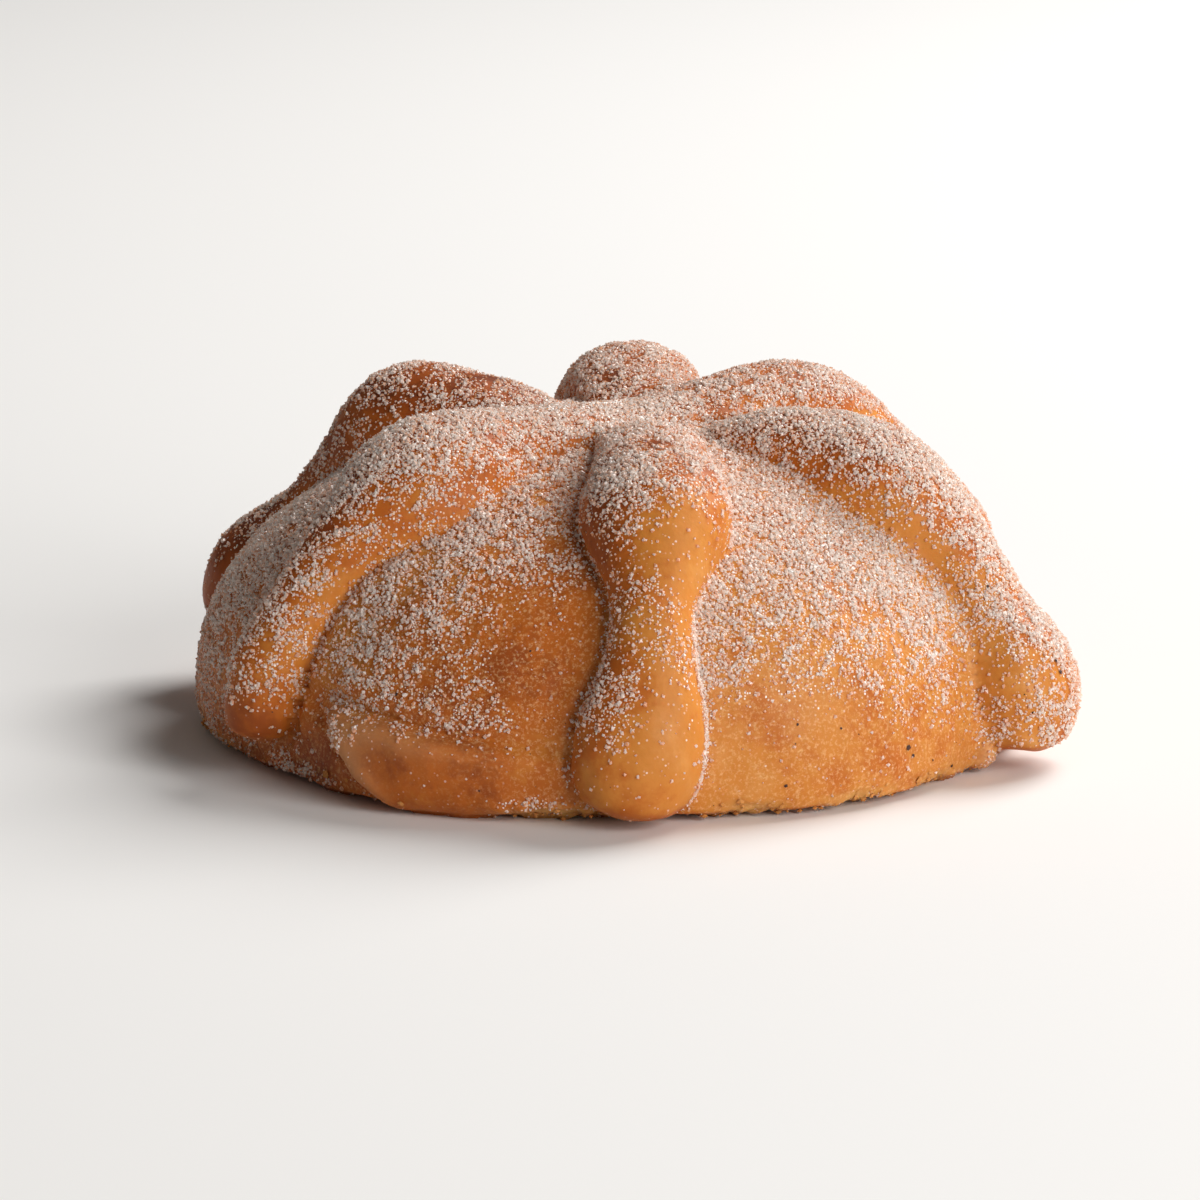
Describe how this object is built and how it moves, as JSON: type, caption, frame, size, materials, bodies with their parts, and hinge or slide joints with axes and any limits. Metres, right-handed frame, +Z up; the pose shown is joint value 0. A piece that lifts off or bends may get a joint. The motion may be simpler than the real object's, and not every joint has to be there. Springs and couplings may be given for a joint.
{
  "type": "pan de muerto",
  "caption": "Round sweet bread bun with crossed knobbed dough bones over its crown, coated in granulated sugar, standing on a flat underside.",
  "frame": {"origin": "middle of the bun's flat underside, on the surface that it stands on", "axes": "+Z up, through the crown; +X to the right and +Y to the back as the bread is seen with one bone end facing the viewer"},
  "size_m": [0.1265, 0.1327, 0.0498],
  "materials": {
    "bun_crust": "golden baked crust under sugar",
    "bone_crust": "browned baked crust under sugar",
    "sugar": "loose granulated sugar crystals"
  },
  "bodies": {
    "root": {"bun": "bun_crust", "bone_left_front": "bone_crust", "bone_front_back": "bone_crust", "bone_right_front": "bone_crust"}
  },
  "joints": []
}
